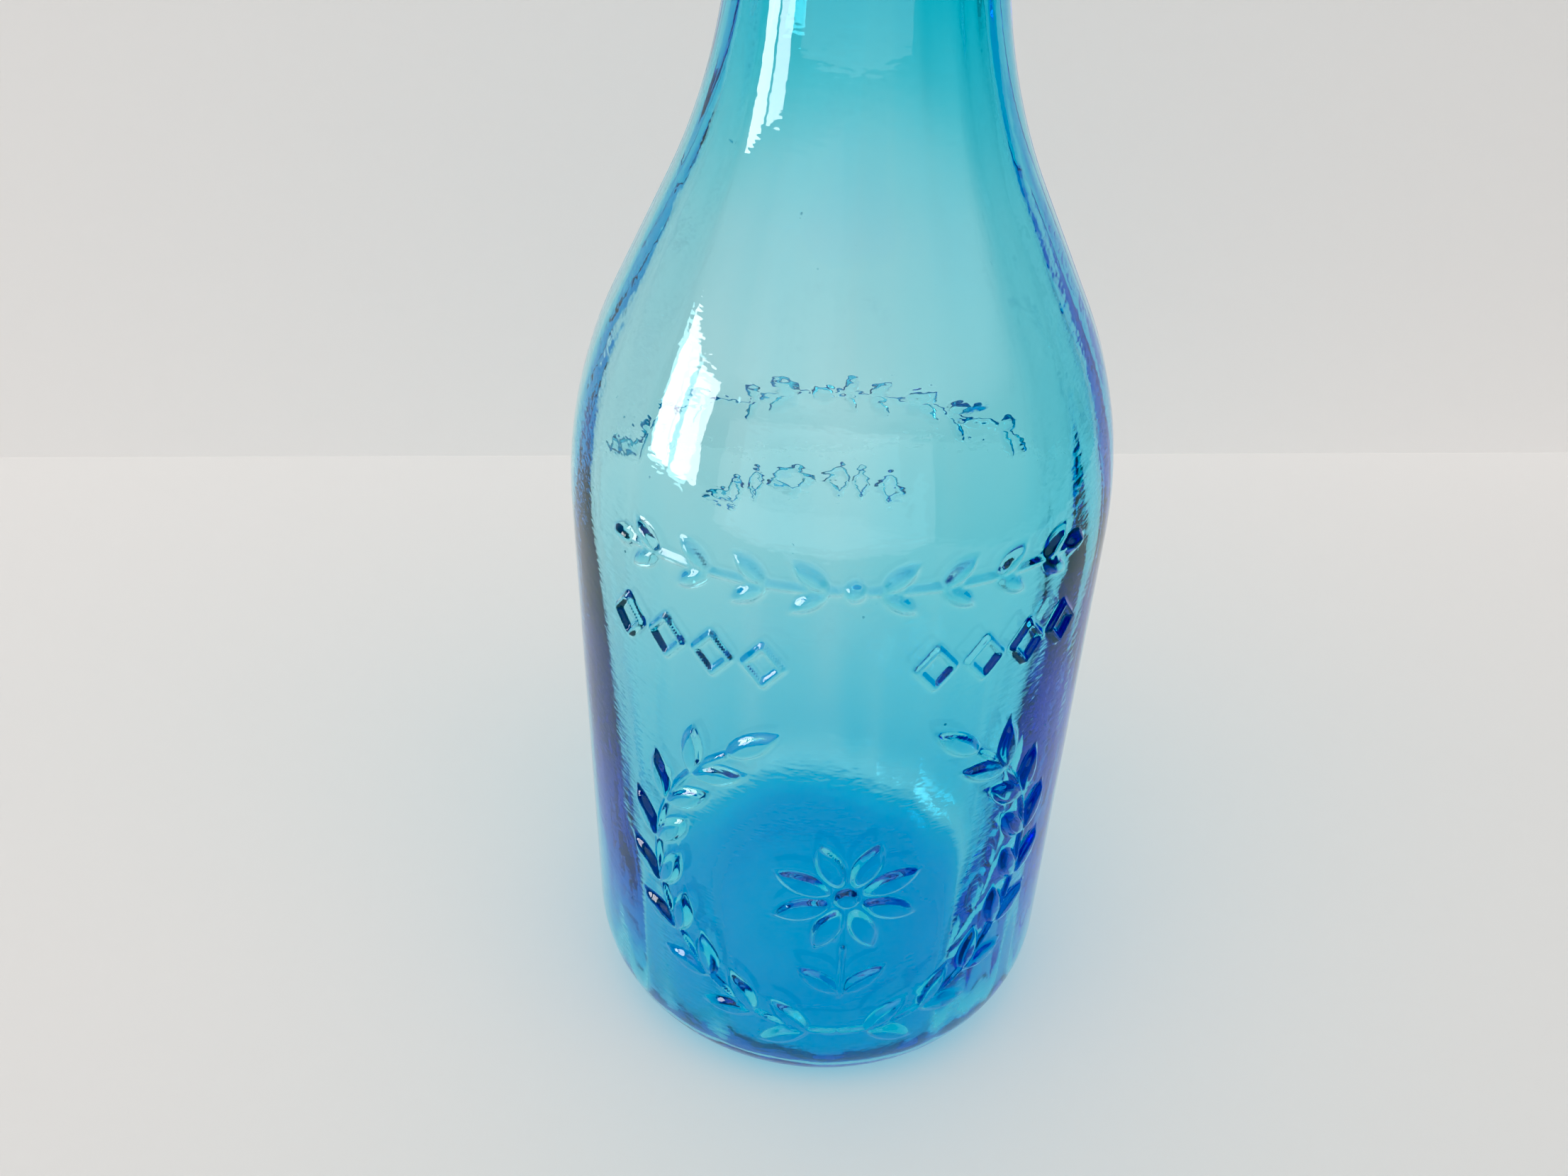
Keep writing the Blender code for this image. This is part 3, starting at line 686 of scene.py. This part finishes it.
# The rubber ring is cut from a moulded red tube, flat above and below, and sits round
# the lid's plug. Its skin is matt with a fine grain and a pale bloom.
ring_edge = 0.0005
ring_inner = plug_radius + seat_gap
ring_outer = flange_radius - seat_gap
ring_bottom = lip_top + seat_gap
ring_top = ring_bottom + ring_thickness
ring_outline = arc(ring_outer - ring_edge, ring_bottom + ring_edge, ring_edge, -pi / 2, 0, 4)
ring_outline += arc(ring_outer - ring_edge, ring_top - ring_edge, ring_edge, 0, pi / 2, 4)
ring_outline += arc(ring_inner + ring_edge, ring_top - ring_edge, ring_edge, pi / 2, pi, 4)
ring_outline += arc(ring_inner + ring_edge, ring_bottom + ring_edge, ring_edge, pi, 1.5 * pi, 4)
ring_outline.append(ring_outline[0])
ring_shape = turned(ring_outline, lid_steps)
ring_mesh = bpy.data.meshes.new("red_rubber_ring")
ring_shape.to_mesh(ring_mesh)
ring_shape.free()
ring_mesh.shade_smooth()
rubber = bpy.data.materials.new("red_rubber")
rubber.use_nodes = True
tree = rubber.node_tree
shader = tree.nodes["Principled BSDF"]
place = add_node(tree, "ShaderNodeTexCoord")
bloom = add_node(
    tree, "ShaderNodeTexNoise", {"Vector": place.outputs["Object"]}, Scale=160.0, Detail=4.0
)
grain = add_node(
    tree, "ShaderNodeTexNoise", {"Vector": place.outputs["Object"]}, Scale=3000.0, Detail=2.0
)
skin = add_node(tree, "ShaderNodeValToRGB", {"Fac": bloom.outputs["Fac"]})
skin.color_ramp.elements[0].position = 0.35
skin.color_ramp.elements[0].color = (0.33, 0.045, 0.025, 1.0)
skin.color_ramp.elements[1].position = 0.75
skin.color_ramp.elements[1].color = (0.48, 0.12, 0.08, 1.0)
rough = add_node(
    tree, "ShaderNodeMapRange", {"Value": bloom.outputs["Fac"]},
    **{"From_Min": 0.3, "From_Max": 0.7, "To_Min": 0.55, "To_Max": 0.8},
)
bump = add_node(
    tree, "ShaderNodeBump", {"Height": grain.outputs["Fac"]}, Strength=0.6, Distance=0.00005
)
tree.links.new(skin.outputs["Color"], shader.inputs["Base Color"])
tree.links.new(rough.outputs[0], shader.inputs["Roughness"])
tree.links.new(bump.outputs["Normal"], shader.inputs["Normal"])
ring_mesh.materials.append(rubber)
ring = bpy.data.objects.new("red_rubber_ring", ring_mesh)
bpy.context.scene.collection.objects.link(ring)
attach(ring, "lid_body")
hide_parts("rubber_ring")

# The neck wire, lever and bail are bent from tinned steel wire. Drawing leaves fine
# marks on it, and handling dulls the tin in patches.
wire_finish, wire_in, wire_out = new_group(
    "tinned_wire_surface",
    [("Dulling", float_kind, 0.5)],
    [("Roughness", float_kind), ("Colour", colour_kind), ("Normal", vector_kind)],
)
place = add_node(wire_finish, "ShaderNodeTexCoord")
patches = add_node(
    wire_finish, "ShaderNodeTexNoise", {"Vector": place.outputs["Object"]}, Scale=140.0, Detail=5.0
)
marks = add_node(
    wire_finish, "ShaderNodeTexNoise", {"Vector": place.outputs["Object"]}, Scale=2400.0, Detail=3.0
)
dull = add_node(
    wire_finish, "ShaderNodeMath",
    {0: patches.outputs["Fac"], 1: wire_in.outputs["Dulling"]}, operation="MULTIPLY",
)
rough = add_node(
    wire_finish, "ShaderNodeMapRange", {"Value": dull.outputs[0]},
    **{"From_Min": 0.1, "From_Max": 0.4, "To_Min": 0.2, "To_Max": 0.45},
)
shade = add_node(wire_finish, "ShaderNodeValToRGB", {"Fac": patches.outputs["Fac"]})
shade.color_ramp.elements[0].position = 0.3
shade.color_ramp.elements[0].color = (0.46, 0.45, 0.43, 1.0)
shade.color_ramp.elements[1].position = 0.7
shade.color_ramp.elements[1].color = (0.66, 0.66, 0.65, 1.0)
bump = add_node(
    wire_finish, "ShaderNodeBump", {"Height": marks.outputs["Fac"]}, Strength=0.4, Distance=0.00003
)
wire_finish.links.new(rough.outputs[0], wire_out.inputs["Roughness"])
wire_finish.links.new(shade.outputs["Color"], wire_out.inputs["Colour"])
wire_finish.links.new(bump.outputs["Normal"], wire_out.inputs["Normal"])

for node_name, dulling in (("neck_wire", 0.75), ("lever", 0.45), ("bail", 0.45)):
    steel = bpy.data.materials.new(f"tinned_steel_{node_name}")
    steel.use_nodes = True
    tree = steel.node_tree
    shader = tree.nodes["Principled BSDF"]
    shader.inputs["Metallic"].default_value = 1.0
    surface = add_node(tree, "ShaderNodeGroup", node_tree=wire_finish)
    surface.inputs["Dulling"].default_value = dulling
    tree.links.new(surface.outputs["Colour"], shader.inputs["Base Color"])
    tree.links.new(surface.outputs["Roughness"], shader.inputs["Roughness"])
    tree.links.new(surface.outputs["Normal"], shader.inputs["Normal"])
    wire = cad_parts[node_name]
    wire.data.materials.clear()
    wire.data.materials.append(steel)

# A plain pale floor and a plain pale wall stand in for the studio. The wall's far side
# lets the camera see through it, so that the back of the bottle can be looked at.
wall_distance = 0.2324
wall_slant = 0.1186


def plain_sheet(name, corners, colour, roughness, see_through_back):
    """A flat sheet of the studio in one pale colour."""
    shape = bmesh.new()
    shape.faces.new([shape.verts.new(corner) for corner in corners])
    mesh = bpy.data.meshes.new(name)
    shape.to_mesh(mesh)
    shape.free()
    finish = bpy.data.materials.new(name)
    finish.use_nodes = True
    tree = finish.node_tree
    shader = tree.nodes["Principled BSDF"]
    shader.inputs["Base Color"].default_value = (*colour, 1.0)
    shader.inputs["Roughness"].default_value = roughness
    shader.inputs["Specular IOR Level"].default_value = 0.0
    if see_through_back:
        side = add_node(tree, "ShaderNodeNewGeometry")
        clear = add_node(tree, "ShaderNodeBsdfTransparent")
        mix = add_node(
            tree, "ShaderNodeMixShader",
            {0: side.outputs["Backfacing"], 1: shader.outputs[0], 2: clear.outputs[0]},
        )
        tree.links.new(mix.outputs[0], tree.nodes["Material Output"].inputs["Surface"])
    mesh.materials.append(finish)
    sheet = bpy.data.objects.new(name, mesh)
    bpy.context.scene.collection.objects.link(sheet)
    return sheet


far_end = 3.0
right_end = 0.46
wall_height = 1.5
plain_sheet(
    "pale_floor",
    [
        (-far_end, -far_end, 0),
        (right_end, -far_end, 0),
        (right_end, far_end, 0),
        (-far_end, far_end, 0),
    ],
    colour=(0.815, 0.815, 0.81), roughness=0.9, see_through_back=False,
)
plain_sheet(
    "pale_wall",
    [
        (-far_end, wall_distance - wall_slant * far_end, 0),
        (right_end, wall_distance + wall_slant * right_end, 0),
        (right_end, wall_distance + wall_slant * right_end, wall_height),
        (-far_end, wall_distance - wall_slant * far_end, wall_height),
    ],
    colour=(0.84, 0.835, 0.83), roughness=0.9, see_through_back=True,
)


def soft_light(name, place, target, width, height, watts, colour):
    """A soft box aimed at a point."""
    data = bpy.data.lights.new(name, "AREA")
    data.shape = "RECTANGLE"
    data.size, data.size_y = width, height
    data.energy = watts
    data.color = colour
    lamp = bpy.data.objects.new(name, data)
    lamp.location = place
    lamp.rotation_euler = (Vector(target) - Vector(place)).to_track_quat("-Z", "Y").to_euler()
    lamp.visible_camera = False
    bpy.context.scene.collection.objects.link(lamp)
    return lamp


# Two narrow soft boxes at the left stand side by side, like the panes of a window.
pane_distance = 0.6
pane_middle = 0.23
pane_height = 0.26
for turn, width, watts in ((-74.5, 0.105, 1.15), (-61.5, 0.125, 1.1)):
    turn = radians(turn)
    pane = soft_light(
        "window_light",
        (pane_distance * sin(turn), -pane_distance * cos(turn), pane_middle),
        (0, 0, pane_middle), width, pane_height, watts, (1.0, 1.0, 0.99),
    )
    pane.visible_diffuse = False
sheen = soft_light(
    "front_light", (-0.05, -0.6, 0.14), (0, 0, 0.14),
    width=1.1, height=0.42, watts=1.5, colour=(1.0, 1.0, 1.0),
)
sheen.visible_diffuse = False
soft_light(
    "high_light", (-0.45, -0.75, 1.0), (0, 0, 0.1),
    width=0.9, height=0.9, watts=0.9, colour=(1.0, 0.965, 0.93),
)

# The studio round the bottle is pale, and brighter above and behind the camera, which
# lays a soft veil over the shoulder and the front of the glass.
world = bpy.data.worlds.new("studio")
bpy.context.scene.world = world
world.use_nodes = True
tree = world.node_tree
backdrop = tree.nodes["Background"]
toward = add_node(tree, "ShaderNodeTexCoord")
parts = add_node(tree, "ShaderNodeSeparateXYZ", {"Vector": toward.outputs["Generated"]})
upper = add_node(
    tree, "ShaderNodeMapRange", {"Value": parts.outputs["Z"]}, interpolation_type="SMOOTHSTEP",
    **{"From_Min": 0.2, "From_Max": 0.42, "To_Min": 0.0, "To_Max": 1.0},
)
ahead = add_node(
    tree, "ShaderNodeMapRange", {"Value": parts.outputs["Y"]}, interpolation_type="SMOOTHSTEP",
    **{"From_Min": -0.35, "From_Max": 0.15, "To_Min": 1.0, "To_Max": 0.0},
)
front = add_node(
    tree, "ShaderNodeMath", {0: upper.outputs[0], 1: ahead.outputs[0]}, operation="MULTIPLY"
)
shade = add_node(tree, "ShaderNodeMix", {"Factor": front.outputs[0]}, data_type="RGBA")
shade.inputs[6].default_value = (0.33, 0.322, 0.312, 1.0)
shade.inputs[7].default_value = (1.42, 1.35, 1.31, 1.0)
tree.links.new(shade.outputs[2], backdrop.inputs["Color"])
backdrop.inputs["Strength"].default_value = 1.0
view = bpy.context.scene.view_settings
view.view_transform = "Standard"
view.use_curve_mapping = True
view.curve_mapping.black_level = (0.046, 0.012, 0.0)
bpy.context.scene.cycles.max_bounces = 32
bpy.context.scene.cycles.glossy_bounces = 32
bpy.context.scene.cycles.transmission_bounces = 32
